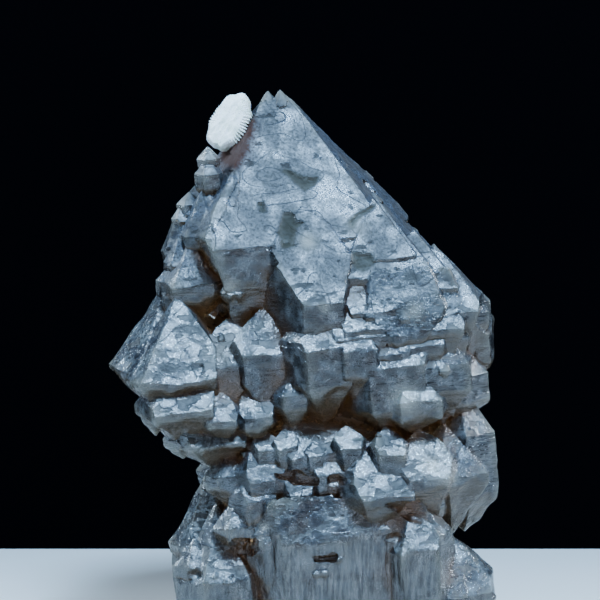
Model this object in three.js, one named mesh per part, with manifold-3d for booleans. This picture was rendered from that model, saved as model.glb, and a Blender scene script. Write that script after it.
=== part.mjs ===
// A stacked "screw" quartz, about 70 mm tall: many quartz crystals grown in parallel, one over another,
// so that they form a broad faceted crown on stepped tiers. A small white bladed crystal sits on the
// shoulder. The stack was cut off flat below, where it grew on, and it stands on that cut.
// Millimetres, +Z up, front towards -Y, origin at the middle of the cut face.

import * as THREE from "three";
import { ConvexGeometry } from "three/addons/geometries/ConvexGeometry.js";
import { mergeVertices } from "three/addons/utils/BufferGeometryUtils.js";
import Module from "manifold-3d";

const wasm = await Module();
wasm.setup();

// Driving dimensions
const BASE_HEIGHT = 6; // plain crystal between the cut face and the foot of the sheet
const BASE_MIDDLE = [2.4, 5.1]; // x and y of the middle of the cut face under the sheet's foot
const SHEET_TILT = 10; // places are given on a sheet that leans back by this, in degrees
const LEAN = 4; // the crystals' long axis leans to the left by this
const TURN = 12; // their front face is turned to the right by this
const RHOMB_RISE = 51.8; // slope of the end faces of quartz, from the level
const GAP = 0.3; // between the white crystal and the quartz
const FAR = 60; // longer than the object is deep
const HOLLOW_CUT = 8; // how far in front of its floor a hollow is cut free
const WELD = 1e-4; // corners closer than this are one corner
const FINEST = 0.01; // edges shorter than this are closed up in the joined stack
const PARALLEL = 1e-6; // three planes whose normals span less than this have no corner
const TOUCH = 1e-5; // a corner this near to a plane lies on it
const SAME = 1e-3; // corners of a crystal nearer than this are one

// The six faces of the crown and of the broad crystals stand at these headings, not 60 degrees apart
const CROWN = [12, 84, 150, 200, 245, 288];
const REGULAR = [0, 60, 120, 180, 240, 300].map((step) => TURN + step);
const EVEN = [1, 1, 1, 1, 1, 1];
const NONE = [0, 0, 0, 0, 0, 0];

const radians = THREE.MathUtils.degToRad;
const tan = (degrees) => Math.tan(radians(degrees));
const sin = (degrees) => Math.sin(radians(degrees));
const cos = (degrees) => Math.cos(radians(degrees));

// The sheet: x to the right, u up along it, d straight away from the viewer
const RIGHT = new THREE.Vector3(1, 0, 0);
const UP = new THREE.Vector3(0, sin(SHEET_TILT), cos(SHEET_TILT));
const AWAY = new THREE.Vector3(0, cos(SHEET_TILT), -sin(SHEET_TILT));
const FOOT = new THREE.Vector3(-BASE_MIDDLE[0], -BASE_MIDDLE[1], BASE_HEIGHT);

const fromSheet = (x, u, d) =>
  FOOT.clone().addScaledVector(RIGHT, x).addScaledVector(UP, u).addScaledVector(AWAY, d);

// The crown's front face, as a depth on the sheet, less what a growth on it stands proud
const APEX = { x: -4.6, u: 63.4 };
const onCrown = (x, u, proud) => [x, u, 0.1384 * (x - APEX.x) + 0.5603 * (u - APEX.u) - proud];

const heading = (azimuth) => new THREE.Vector3(sin(azimuth), -cos(azimuth), 0);
const lean = (vector) => vector.clone().applyAxisAngle(new THREE.Vector3(0, 1, 0), -radians(LEAN));

// Solids

// A closed geometry as a solid for joining and cutting
function toSolid(geometry) {
  const merged = welded(geometry);
  const mesh = new wasm.Mesh({
    numProp: 3,
    vertProperties: Float32Array.from(merged.attributes.position.array),
    triVerts: Uint32Array.from(merged.index.array),
  });
  return new wasm.Manifold(mesh);
}

// The same geometry with each corner only once
function welded(geometry) {
  const bare = geometry.clone();
  bare.deleteAttribute("normal");
  bare.deleteAttribute("uv");
  return mergeVertices(bare, WELD);
}

function toGeometry(solid) {
  const mesh = solid.getMesh();
  const geometry = new THREE.BufferGeometry();
  geometry.setAttribute("position", new THREE.BufferAttribute(mesh.vertProperties, 3));
  geometry.setIndex(new THREE.BufferAttribute(mesh.triVerts, 1));
  geometry.computeVertexNormals();
  return geometry;
}

// The corners of a convex body: each point where three planes meet that no other plane cuts away
function cornersOf(planes) {
  const corners = [];
  const cross = new THREE.Vector3();
  for (let i = 0; i < planes.length; i++) {
    for (let j = i + 1; j < planes.length; j++) {
      for (let k = j + 1; k < planes.length; k++) {
        const [a, b, c] = [planes[i], planes[j], planes[k]];
        const volume = a.normal.dot(cross.crossVectors(b.normal, c.normal));
        if (Math.abs(volume) < PARALLEL) continue;
        const corner = cross.clone().multiplyScalar(a.offset);
        corner.addScaledVector(cross.crossVectors(c.normal, a.normal), b.offset);
        corner.addScaledVector(cross.crossVectors(a.normal, b.normal), c.offset);
        corner.divideScalar(volume);
        const inside = planes.every((plane) => plane.normal.dot(corner) < plane.offset + TOUCH);
        const known = corners.some((other) => other.distanceTo(corner) < SAME);
        if (inside && !known) corners.push(corner);
      }
    }
  }
  return corners;
}

// One quartz crystal: six end faces above, six prism faces, six faces below. The given point is the
// middle of the edge between its front end face and prism face, or its tip where apex is true. size is
// from its axis to its prism faces, prism their height, under the slope of the faces below, reach how
// far out each prism face is against size, lift how far each end face is raised, and drop how far each
// face below is lowered.
function crystalAt(point, size, options) {
  const { apex = false, prism = 2, under = 56, rise = RHOMB_RISE, spin = 0 } = options;
  const { faces = REGULAR, reach = EVEN, lift = NONE, drop = NONE } = options;
  const tip = tan(rise) * size * reach[0];
  const root = prism + tan(under) * size * reach[0];
  const middle = point.clone();
  if (apex) middle.sub(lean(new THREE.Vector3(0, 0, tip)));
  else middle.addScaledVector(lean(heading(faces[0] + spin)), -size * reach[0]);
  const planes = [];
  const face = (out, slope, distance) => {
    const level = new THREE.Vector3(0, 0, cos(slope));
    const normal = lean(out.clone().multiplyScalar(sin(slope)).add(level));
    planes.push({ normal, offset: distance + normal.dot(middle) });
  };
  faces.forEach((azimuth, k) => {
    const out = heading(azimuth + spin);
    face(out, 90, size * reach[k]);
    face(out, rise, cos(rise) * (tip + lift[k]));
    face(out, 180 - under, cos(under) * (root + drop[k]));
  });
  return toSolid(new ConvexGeometry(cornersOf(planes)));
}

// A hollow cut straight back from the front: an outline on the sheet, down to a floor
function hollow(outline, floorAt) {
  const shape = new THREE.Shape(outline.map(([x, u]) => new THREE.Vector2(x, u)));
  const geometry = new THREE.ExtrudeGeometry(shape, { depth: 1, bevelEnabled: false });
  const place = geometry.attributes.position;
  for (let i = 0; i < place.count; i++) {
    const [x, u] = [place.getX(i), place.getY(i)];
    const floor = floorAt(x, u);
    const point = fromSheet(x, u, place.getZ(i) > 0 ? floor : floor - HOLLOW_CUT);
    place.setXYZ(i, point.x, point.y, point.z);
  }
  // The sheet's right, up and away form a left-handed set, so the triangles are turned over
  const turned = welded(geometry);
  const index = turned.index;
  for (let i = 0; i < index.count; i += 3) {
    const second = index.getX(i + 1);
    index.setX(i + 1, index.getX(i + 2));
    index.setX(i + 2, second);
  }
  return toSolid(turned);
}

// The quartz crystals seen from the front: x, u, d on the sheet, then size and form

// broad steps under the crown's right part
const WIDE = { faces: CROWN, under: 60, lift: [0, 1, 0, 0, 0, 4] };

const CORE = [
  // What the rest has grown on, from the foot up, and behind the left wing.
  [1.5, 20, -8, 11.5, { prism: 40, under: 20 }],
  [-8.4, 27, -8.4, 8, { prism: 6, under: 50 }],
  [-8, 31, 0, 8.6, { prism: 8, under: 50 }],
  [-8, 6, -5.5, 8, { prism: 20, under: 50 }],
];

const CROWN_TIER = [
  [APEX.x, APEX.u, 0, 13.3, {
    apex: true, prism: 3.3, faces: CROWN, under: 74, reach: [1, 1.9, 0.94, 0.94, 0.98, 1.14],
    lift: [0, 0.6, 0, 0, 3.4, 3.6],
  }],
  // its right face goes on down to the right
  [4, 54.2, 0.3, 13, {
    apex: true, prism: 3, faces: CROWN, under: 50, reach: [1, 1.27, 0.84, 0.8, 1, 1],
    drop: [0, 10, 0, 0, 0, 0],
  }],
  // nubs on the tip
  [...onCrown(-4.6, 62, 0.25), 1.5, { prism: 1, under: 70, reach: [1, 0.7, 1, 1, 1, 0.8] }],
  [...onCrown(-6.3, 62.5, 0.1), 1.1, { prism: 1, under: 70, reach: [1, 0.7, 1, 1, 1, 0.8] }],
  // steps that carry the front face on downwards
  [...onCrown(-0.2, 40, 0.12), 6.6, {
    prism: 0.3, under: 60, reach: [1, 1, 1, 1, 1, 0.92], lift: [0, 2, 0, 0, 0, 3],
  }],
  [...onCrown(0, 37, 0.1), 6.2, {
    prism: 2.9, under: 60, reach: [1, 0.9, 1, 1, 1, 0.8], lift: [0, 3, 0, 0, 0, 3],
  }],
  [...onCrown(8.2, 42.8, 0.1), 5.4, { prism: 0.8, faces: CROWN, under: 60 }],
  // the gently stepped, wavy lower right
  [11.2, 33, -12.4, 3.8, {
    prism: 0.6, rise: 66, under: 60, reach: [1, 2, 2, 1, 2, 2], lift: [0, 7, 7, 0, 7, 7],
  }],
  [15.4, 33.8, -10.8, 3.2, {
    prism: 0.8, spin: 4, rise: 66, under: 60, reach: [1, 1.6, 2, 1, 2, 2], lift: [0, 4, 6, 0, 6, 6],
  }],
  [9.4, 40.6, -10.5, 6.6, { prism: 0.4, faces: CROWN, under: 60, lift: [0, 0, 0, 0, 0, 3] }],
  [13.4, 38.6, -10.1, 5.6, { prism: 0.4, faces: CROWN, under: 60, lift: [0, 0, 0, 0, 0, 3] }],
  [8.6, 36.2, -12.1, 5.4, { prism: 0.4, ...WIDE }],
  [15.8, 35.8, -10.2, 5.8, { prism: 0.6, ...WIDE }],
  [7.2, 33.8, -12.9, 4.8, { prism: 0.6, ...WIDE }],
  [13.6, 33.4, -11.7, 6.2, { prism: 0.6, ...WIDE }],
  [5.4, 32.6, -13.3, 4, { prism: 0.8, ...WIDE }],
  [18.6, 37.2, -6.6, 3.2, { prism: 1.2, under: 60, spin: 14 }],
  [19.8, 35.6, -6.2, 3, { prism: 1.4, under: 60, spin: 20 }],
  [18.9, 36.8, -3.5, 6, { prism: 4.4, under: 55, spin: 30 }],
  [15.8, 32.6, -9.4, 5.6, { prism: 1, under: 60, spin: 14, reach: [1, 1, 1, 1, 1, 0.7] }],
];

const LEFT_SHOULDER = [
  [-15.8, 39.4, -9.6, 4.2, { prism: 1.9, under: 45, spin: -12 }],
  [-18.2, 43.4, -6, 2.5, { prism: 1.5, under: 60, spin: -34, rise: 66 }],
  [-17.6, 42, -7.5, 1.9, { prism: 1.5, under: 60, spin: -14, rise: 60 }],
  [-15.2, 45.6, -8, 3, { prism: 1.5, under: 50, spin: -25, rise: 60 }],
  [-16.2, 49.4, -5.6, 1.4, { prism: 1.5, under: 60, spin: -5, rise: 45 }],
  [-14.6, 48.4, -6.9, 2.2, { prism: 1.5, under: 60, spin: -30, rise: 55 }],
  [-13.7, 55, -6.2, 1.4, { prism: 1, under: 50 }],
  [-13.6, 53.1, -6.8, 1.7, { prism: 1.9, under: 50 }],
  [-17.9, 38, -8, 2.8, { prism: 1.6, under: 50, spin: -24 }],
  // stained steps that the white crystal sits on
  [-9.2, 58.2, -1.9, 1.8, { prism: 1.4, under: 60, spin: -20 }],
  [-10, 56.2, -3.2, 2, { prism: 1.6, under: 60, spin: -26 }],
  [-9.4, 54.4, -4.7, 1.6, { prism: 1.2, under: 60, spin: -14 }],
  [-10.6, 56.6, -0.6, 2.4, { prism: 2.4, under: 40, spin: -30 }],
];

const SECOND_TIER = [
  // the large left wing
  [-15.6, 27.6, -14.4, 7.4, {
    prism: 0.6, under: 48, faces: CROWN, rise: 53, reach: [1, 0.66, 1, 1, 1, 1.05],
  }],
  [-15.2, 23.6, -14.6, 6.6, { prism: 0.5, under: 40, faces: CROWN, reach: [1, 0.6, 1, 1, 1, 0.9] }],
  [-16.2, 28.3, -10.5, 8.2, {
    prism: 0.4, under: 44, faces: CROWN, rise: 54, reach: [1, 0.8, 1, 1, 1, 0.98],
  }],
  [-12, 22.4, -13.6, 3, { prism: 0.6, under: 44, spin: -4, lift: [0, 1, 0, 0, 0, 2] }],
  [-12.6, 19.6, -12, 5.6, { prism: 0.6, under: 36, spin: -6, lift: [0, 2, 0, 0, 0, 2] }],
  // the middle, with a tall dark prism under a bright strip
  [-10.2, 29.4, -11.6, 4.2, { prism: 5, under: 50, reach: [1, 1, 1, 1, 1, 1.3], lift: [0, 2, 0, 0, 0, 2] }],
  [-5.2, 30.9, -11.7, 4.6, {
    prism: 6, under: 50, reach: [1, 1.25, 1, 1, 1, 1.3], lift: [0, 3, 0, 0, 0, 4],
  }],
  [-7.6, 23, -12.4, 3, { prism: 1.4, under: 40, lift: [0, 1.6, 0, 0, 0, 1] }],
  [1, 31.4, -14.3, 5, { prism: 5, under: 50, lift: [0, 1, 0, 0, 0, 1] }],
  [5, 31.2, -13.9, 3.6, { prism: 3.4, under: 50 }],
  [-3.2, 25.8, -12.4, 2.4, { prism: 2, under: 50, lift: [0, 1, 0, 0, 0, 0] }],
  // the right
  [9.8, 29.3, -12.7, 6.6, { prism: 6, under: 50, spin: -2, reach: [1, 0.9, 1, 1, 1, 1] }],
  [8.6, 31, -12.6, 4.2, { prism: 1, under: 60, spin: -2, lift: [0, 2, 0, 0, 0, 2] }],
  [12.8, 31.6, -11.6, 4.4, { prism: 1.2, under: 60, spin: 2, lift: [0, 2, 0, 0, 0, 2] }],
  [15.6, 29.2, -10.4, 5.6, { prism: 3.4, under: 50, spin: 12 }],
  [18.9, 28, -5.6, 5.4, { prism: 3.4, under: 44, spin: 30 }],
  [12.4, 24.6, -12.4, 4.6, { prism: 2, under: 40, spin: 3 }],
];

const THIRD_TIER = [
  [2.6, 18.2, -10.9, 9, { prism: 4, under: 50, reach: [1, 1, 1, 1, 1, 1.1], lift: [0, 3, 0, 0, 0, 3] }],
  [-6.6, 18.9, -11.4, 1.9, { prism: 2, under: 70, lift: [0, 1.2, 0, 0, 0, 1.2] }],
  [-4, 19.2, -11.7, 1.7, { prism: 2.2, under: 70, lift: [0, 1.2, 0, 0, 0, 1.2] }],
  [-0.6, 17.6, -11.9, 1.5, { prism: 1.4, under: 70, lift: [0, 1, 0, 0, 0, 1] }],
  [3.9, 18.9, -12, 2.2, { prism: 2.2, under: 70, lift: [0, 1, 0, 0, 0, 1] }],
  [8.8, 18.3, -12.2, 2.6, { prism: 2.2, under: 70, lift: [0, 1, 0, 0, 0, 1] }],
  [13.6, 15.2, -12, 4.6, { prism: 1.2, under: 60, lift: [0, 2, 0, 0, 0, 2] }],
  [18.6, 15.6, -8.4, 5, { prism: 1.4, under: 55, spin: 20 }],
  [20.2, 20.8, -4.4, 4, { prism: 8.6, under: 50, spin: 30, rise: 60 }],
  [-6.6, 14.9, -12.2, 3.8, { prism: 1.2, under: 60, lift: [0, 1, 0, 0, 0, 1] }],
  [-7.4, 12.7, -12.2, 3, { prism: 1.4, under: 70, lift: [0, 1, 0, 0, 0, 1] }],
  [1.6, 15.6, -11.7, 3.4, { prism: 1.6, under: 70, lift: [0, 2, 0, 0, 0, 2] }],
  [-2.4, 13.2, -12.1, 2.4, { prism: 1, under: 70, lift: [0, 1, 0, 0, 0, 1] }],
  [8.6, 12.8, -13.4, 5.6, { prism: 0.8, under: 50, spin: 4, lift: [0, 2, 0, 0, 0, 2] }],
  [-11, 15.4, -10.8, 3, { prism: 1.6, under: 50, spin: -12 }],
];

const FOOT_TIER = [
  // the broad, nearly flat front of the stem
  [3.2, 7.4, -12.6, 2.1, {
    prism: 24, under: 50, rise: 71, reach: [1, 4.6, 5, 5, 5, 3.8], lift: [0, 24, 24, 0, 24, 24],
  }],
  [13, 6.2, -12.6, 5, { prism: 18, under: 50, rise: 58, reach: [1, 0.8, 1, 1, 1, 1] }],
  [19.4, 0.8, -8.2, 6.6, { prism: 16, under: 50, spin: 14, rise: 46, reach: [1, 0.8, 1, 1, 1, 1] }],
  [-15.2, 4.2, -9.6, 2.6, { prism: 1.3, under: 40, spin: -6 }],
  [-14, 6.6, -7.4, 4.6, { prism: 0.4, under: 66, spin: -16, rise: 62 }],
  [-9.8, 9.2, -11.6, 2.8, { prism: 1.2, under: 60, spin: -6 }],
  [-11.6, 2.2, -11, 5.2, { prism: 18, under: 60, spin: -4, rise: 60 }],
  [-5.4, 7, -12.7, 3, { prism: 2, under: 76, rise: 66 }],
];

// The tiers go on round the sides and back, as rings of crystals about the stack's axis
const RING_AXIS = [1, 6.4]; // x and y before the move to the cut face's middle
const RINGS = [
  { level: 47.5, radius: 15.6, size: 7.4, prism: 2.6, azimuths: [150, 184, 222, 246] },
  { level: 42, radius: 14.6, size: 4.8, prism: 1.6, azimuths: [108, 140, 176, 222, 250] },
  { level: 37, radius: 17.4, size: 7.8, prism: 4, azimuths: [106, 140, 184, 228, 252] },
  { level: 30.5, radius: 16, size: 5, prism: 1.8, azimuths: [118, 160, 206, 238] },
  { level: 25, radius: 14.6, size: 5.4, prism: 2.2, azimuths: [104, 134, 170, 196, 226, 246] },
  { level: 18, radius: 16.4, size: 6, prism: 3.4, azimuths: [116, 152, 186, 214, 238] },
  { level: 9.5, radius: 15.8, size: 6.6, prism: 24, azimuths: [102, 128, 160, 192, 222, 246] },
];
const RING_SPREAD = { level: 5, radius: 2, size: 3 };

// A repeatable number from 0 to 1 for each whole number
function wobble(n) {
  const wave = Math.sin(n * 12.9898) * 43758.5453;
  return wave - Math.floor(wave);
}

function ringCrystals() {
  const crystals = [];
  RINGS.forEach((ring, tier) => {
    ring.azimuths.forEach((azimuth, place) => {
      const seed = tier * 10 + place;
      const level = ring.level + RING_SPREAD.level * (wobble(seed + 1) - 0.5);
      const radius = ring.radius + RING_SPREAD.radius * (wobble(seed + 101) - 0.5);
      const size = ring.size + RING_SPREAD.size * (wobble(seed + 201) - 0.5);
      const point = heading(azimuth).multiplyScalar(radius);
      point.add(new THREE.Vector3(RING_AXIS[0], RING_AXIS[1], level));
      point.x -= BASE_MIDDLE[0];
      point.y -= BASE_MIDDLE[1];
      crystals.push(crystalAt(point, size, { prism: ring.prism, under: 50, spin: azimuth - TURN }));
    });
  });
  return crystals;
}

// Etched pits in the crown's front face, as outlines on the sheet
const PIT_DEPTH = 0.6;
const CROWN_PITS = [
  [[-5.1, 53.9], [-4, 54.1], [-2.2, 53.1], [-0.1, 53], [-0.4, 51.9], [-2, 51], [-3.7, 52.6]],
  [[-8, 49.6], [-7, 49.8], [-6.6, 48.6], [-7.3, 48.2]],
  [[-4.6, 48.5], [-3.4, 48.5], [-2.9, 47.4], [-1.8, 47.2], [-2.9, 46.4], [-3.2, 44], [-4.8, 43.8],
    [-5.3, 46]],
  [[3.2, 47.2], [4.4, 48.4], [6.9, 49.6], [7, 49], [5.4, 48], [4, 46.4]],
  [[3.9, 43.6], [6.4, 43.4], [7, 42.2], [5.4, 40.6], [4, 41.6]],
];

// Deeper pockets between the crystals lower down: outline on the sheet and depth of the floor
const POCKETS = [
  { outline: [[-5.6, 15.7], [-3, 16.3], [0, 15.4], [0, 14.5], [-3.4, 14.4]], floor: -10.4 },
  { outline: [[1.2, 14.4], [3, 12.8], [1.6, 12.8]], floor: -11.2 },
  { outline: [[7.8, 12.2], [12.4, 12.6], [15.2, 9.4], [11.2, 9.8]], floor: -10 },
  { outline: [[-11.3, 8], [-7.4, 7.8], [-7.8, 5.6], [-10.8, 5.5]], floor: -8.8 },
  { outline: [[-1.2, 5.8], [2.4, 6], [2.2, 5], [-0.8, 4.8]], floor: -10.9 },
];

// The white crystal: a lens of blades with a saw-toothed rim, standing on the left shoulder
const PLATE = {
  place: [-11.35, 59.9, -0.9], // its middle on the sheet
  length: 3.7, // half its long way
  width: 2.5, // half its short way
  slant: 58, // of its long way, from the level
  lean: -16, // of its face, forwards
  turn: -30, // of its face, to the left
  teeth: 17,
  tooth: 0.07, // of its radius
  thickness: 1.2,
  bevel: 0.45,
};

function plateGeometry(growth) {
  const outline = [];
  const points = PLATE.teeth * 2;
  for (let i = 0; i < points; i++) {
    const turn = (i / points) * 2 * Math.PI;
    const notch = i % 2 ? 1 - PLATE.tooth * (0.5 + wobble(i)) : 1;
    const along = (PLATE.length + growth) * Math.cos(turn) * notch;
    const across = (PLATE.width + growth) * Math.sin(turn) * notch;
    outline.push(new THREE.Vector2(along, across));
  }
  const depth = PLATE.thickness + 2 * growth;
  const bevel = PLATE.bevel;
  const geometry = new THREE.ExtrudeGeometry(new THREE.Shape(outline), {
    depth, bevelThickness: bevel, bevelSize: bevel, bevelOffset: 0, bevelSegments: 1,
  });
  return geometry.translate(0, 0, -depth / 2);
}

function placePlate(mesh) {
  mesh.position.copy(fromSheet(...PLATE.place));
  const facing = new THREE.Matrix4().makeBasis(RIGHT, UP, AWAY.clone().negate());
  mesh.quaternion.setFromRotationMatrix(facing);
  mesh.rotateX(radians(PLATE.lean));
  mesh.rotateY(radians(PLATE.turn));
  mesh.rotateZ(radians(PLATE.slant));
  mesh.updateMatrixWorld();
}

// Everything above the cut face, as a block to keep
function aboveCut() {
  const block = new THREE.BoxGeometry(FAR * 2, FAR * 2, FAR * 2);
  return toSolid(block.translate(0, 0, FAR));
}

function quartzSolid(plate) {
  const front = [...CORE, ...CROWN_TIER, ...LEFT_SHOULDER, ...SECOND_TIER, ...THIRD_TIER, ...FOOT_TIER];
  const crystals = front.map(([x, u, d, size, form]) => crystalAt(fromSheet(x, u, d), size, form));
  crystals.push(...ringCrystals());
  let solid = crystals.reduce((joined, crystal) => joined.add(crystal));
  const crownFloor = (x, u) => onCrown(x, u, -PIT_DEPTH)[2];
  CROWN_PITS.forEach((outline) => (solid = solid.subtract(hollow(outline, crownFloor))));
  POCKETS.forEach(({ outline, floor }) => (solid = solid.subtract(hollow(outline, () => floor))));
  const room = plateGeometry(GAP).applyMatrix4(plate.matrixWorld);
  solid = solid.subtract(toSolid(room)).intersect(aboveCut());
  // Only the stack itself is kept, without slivers that a cut leaves loose
  return solid.decompose().sort((a, b) => b.volume() - a.volume())[0].simplify(FINEST);
}

const white = new THREE.MeshStandardMaterial({ color: 0xe9ece4, roughness: 0.55, metalness: 0 });
const smoky = new THREE.MeshStandardMaterial({ color: 0x8b8d96, roughness: 0.25, metalness: 0 });

const plate = new THREE.Mesh(plateGeometry(0), white);
plate.name = "calcite_plate";
placePlate(plate);

const stack = new THREE.Mesh(toGeometry(quartzSolid(plate)), smoky);
stack.name = "quartz_stack";

const specimen = new THREE.Group();
specimen.add(stack, plate);

export default specimen;
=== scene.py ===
import itertools
import math
from types import SimpleNamespace

import bpy
import numpy as np
from mathutils import Matrix, Vector


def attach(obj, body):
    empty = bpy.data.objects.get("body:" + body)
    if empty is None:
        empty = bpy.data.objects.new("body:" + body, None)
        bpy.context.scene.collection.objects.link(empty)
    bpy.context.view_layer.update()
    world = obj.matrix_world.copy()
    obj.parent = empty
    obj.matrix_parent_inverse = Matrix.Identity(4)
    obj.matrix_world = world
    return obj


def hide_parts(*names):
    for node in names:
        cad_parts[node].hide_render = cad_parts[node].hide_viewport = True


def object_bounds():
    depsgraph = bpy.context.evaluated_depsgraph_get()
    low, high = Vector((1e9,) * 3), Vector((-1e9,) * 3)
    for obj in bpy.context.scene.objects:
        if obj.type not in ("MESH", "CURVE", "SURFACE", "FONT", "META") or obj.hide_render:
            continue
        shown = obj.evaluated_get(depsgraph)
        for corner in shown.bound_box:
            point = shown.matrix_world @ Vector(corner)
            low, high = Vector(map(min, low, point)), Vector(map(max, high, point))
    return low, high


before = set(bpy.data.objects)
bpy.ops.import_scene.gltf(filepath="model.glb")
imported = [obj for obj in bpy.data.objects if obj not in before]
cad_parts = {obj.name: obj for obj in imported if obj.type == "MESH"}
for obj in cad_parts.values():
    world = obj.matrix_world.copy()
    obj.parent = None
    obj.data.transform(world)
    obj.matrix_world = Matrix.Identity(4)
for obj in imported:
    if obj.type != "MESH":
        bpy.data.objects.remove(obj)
CAD_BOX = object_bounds()

# Driving dimensions, in millimetres and degrees, as the solids have them
MM = 0.001
BASE_HEIGHT = 6.0
BASE_MIDDLE = (2.4, 5.1)
SHEET_TILT = 10.0
LEAN = 4.0
TURN = 12.0
RHOMB_RISE = 51.8
APEX_X, APEX_U = -4.6, 63.4
CROWN = (12, 84, 150, 200, 245, 288)
REGULAR = tuple(TURN + 60 * k for k in range(6))
EVEN = (1, 1, 1, 1, 1, 1)
NONE = (0, 0, 0, 0, 0, 0)

# How finely the quartz is meshed
FINE = 0.26
COARSE = 0.42
FINE_UNTIL = 4.0  # y up to which the fine step is used
TRIANGLES = 190000
BAND = 0.9  # distance from the plain faces within which their relief is worked out

RIGHT = np.array([1.0, 0.0, 0.0])
TILT = math.radians(SHEET_TILT)
UP = np.array([0.0, math.sin(TILT), math.cos(TILT)])
AWAY = np.array([0.0, math.cos(TILT), -math.sin(TILT)])
FOOT = np.array([-BASE_MIDDLE[0], -BASE_MIDDLE[1], BASE_HEIGHT])
LEANING = np.array(Matrix.Rotation(-math.radians(LEAN), 3, "Y"))
AXIS = LEANING @ np.array([0.0, 0.0, 1.0])  # the long axis that all the crystals share


def from_sheet(x, u, d):
    """A point given on the tilted sheet: to the right, up along it, away from the viewer."""
    return FOOT + x * RIGHT + u * UP + d * AWAY


def on_crown(x, u, proud=0.0):
    """A place on the crown's front face, less what stands proud of it."""
    return x, u, 0.1384 * (x - APEX_X) + 0.5603 * (u - APEX_U) - proud


def heading(azimuth):
    turn = math.radians(azimuth)
    return np.array([math.sin(turn), -math.cos(turn), 0.0])


def wobble(n):
    """A repeatable number from 0 to 1 for each whole number."""
    wave = math.sin(n * 12.9898) * 43758.5453
    return wave - math.floor(wave)


# Noise

def corner_value(ix, iy, iz, seed):
    mixed = (ix * 73856093) ^ (iy * 19349663) ^ (iz * 83492791) ^ (seed * 2654435761)
    mixed = (mixed ^ (mixed >> 13)) & 0xFFFFFFFF
    mixed = (mixed * 1274126177) & 0xFFFFFFFF
    mixed = mixed ^ (mixed >> 16)
    return mixed.astype(np.float32) * np.float32(1 / 4294967296)


def noise(points, size, seed):
    """Smooth noise from -1 to 1, with lumps of the given size in mm."""
    place = points / np.asarray(size)
    low = np.floor(place)
    part = (place - low).astype(np.float32)
    part = part * part * (3 - 2 * part)
    low = low.astype(np.int64)
    total = 0
    for cx, cy, cz in itertools.product((0, 1), repeat=3):
        weight = (part[:, 0] if cx else 1 - part[:, 0])
        weight = weight * (part[:, 1] if cy else 1 - part[:, 1])
        weight = weight * (part[:, 2] if cz else 1 - part[:, 2])
        total = total + weight * corner_value(low[:, 0] + cx, low[:, 1] + cy, low[:, 2] + cz, seed)
    return 2 * total - 1


def layered(points, layers):
    """Noise of several sizes added up. Each layer has the size of its lumps, its seed and its rise."""
    return sum(noise(points, size, seed) * rise for size, seed, rise in layers)


# Crystals

class Crystal:
    """Six end faces above, six prism faces and six faces below, as planes: normals and distances."""

    def __init__(self, point, size, apex=False, prism=2.0, under=56.0, rise=RHOMB_RISE, spin=0.0,
                 faces=REGULAR, reach=EVEN, lift=NONE, drop=NONE):
        tip = math.tan(math.radians(rise)) * size * reach[0]
        root = prism + math.tan(math.radians(under)) * size * reach[0]
        if apex == "middle":
            middle = point
        elif apex:
            middle = point - LEANING @ np.array([0.0, 0.0, tip])
        else:
            middle = point - LEANING @ heading(faces[0] + spin) * size * reach[0]
        kinds = ([], [], [])
        for k, azimuth in enumerate(faces):
            out = heading(azimuth + spin)
            above = math.cos(math.radians(rise)) * (tip + lift[k])
            below = math.cos(math.radians(under)) * (root + drop[k])
            forms = ((rise, above), (90.0, size * reach[k]), (180.0 - under, below))
            for kind, (slope, distance) in zip(kinds, forms):
                slope = math.radians(slope)
                normal = LEANING @ (out * math.sin(slope) + np.array([0, 0, math.cos(slope)]))
                kind.append((*normal, distance + normal @ middle))
        self.kinds = [np.array(kind) for kind in kinds]
        corners = self.corners()
        self.low, self.high = corners.min(0), corners.max(0)

    def corners(self):
        planes = np.concatenate(self.kinds)
        triples = np.array(list(itertools.combinations(range(len(planes)), 3)))
        sides, distances = planes[triples, :3], planes[triples, 3]
        solvable = np.abs(np.linalg.det(sides)) > 1e-6
        points = np.linalg.solve(sides[solvable], distances[solvable][..., None])[..., 0]
        inside = (points @ planes[:, :3].T - planes[:, 3]).max(1) < 1e-4
        return points[inside]

    def plain(self, points):
        """Distance to the flat faces."""
        planes = np.concatenate(self.kinds).astype(np.float32)
        return (points @ planes[:, :3].T - planes[:, 3]).max(1)


def grown(x, u, d, size, **form):
    return Crystal(from_sheet(x, u, d), size, **form)


def flanks(right, left, rest=0):
    """Values for the six faces round a crystal, of which the front one's two neighbours differ."""
    return rest, right, rest, rest, rest, left


def core_crystals():
    """What the rest has grown on, from the foot up, and behind the left wing."""
    yield grown(1.5, 20, -8, 11.5, prism=40, under=20)
    yield grown(-8.4, 27, -8.4, 8, prism=6, under=50)
    yield grown(-8, 31, 0, 8.6, prism=8, under=50)
    yield grown(-8, 6, -5.5, 8, prism=20, under=50)


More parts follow.
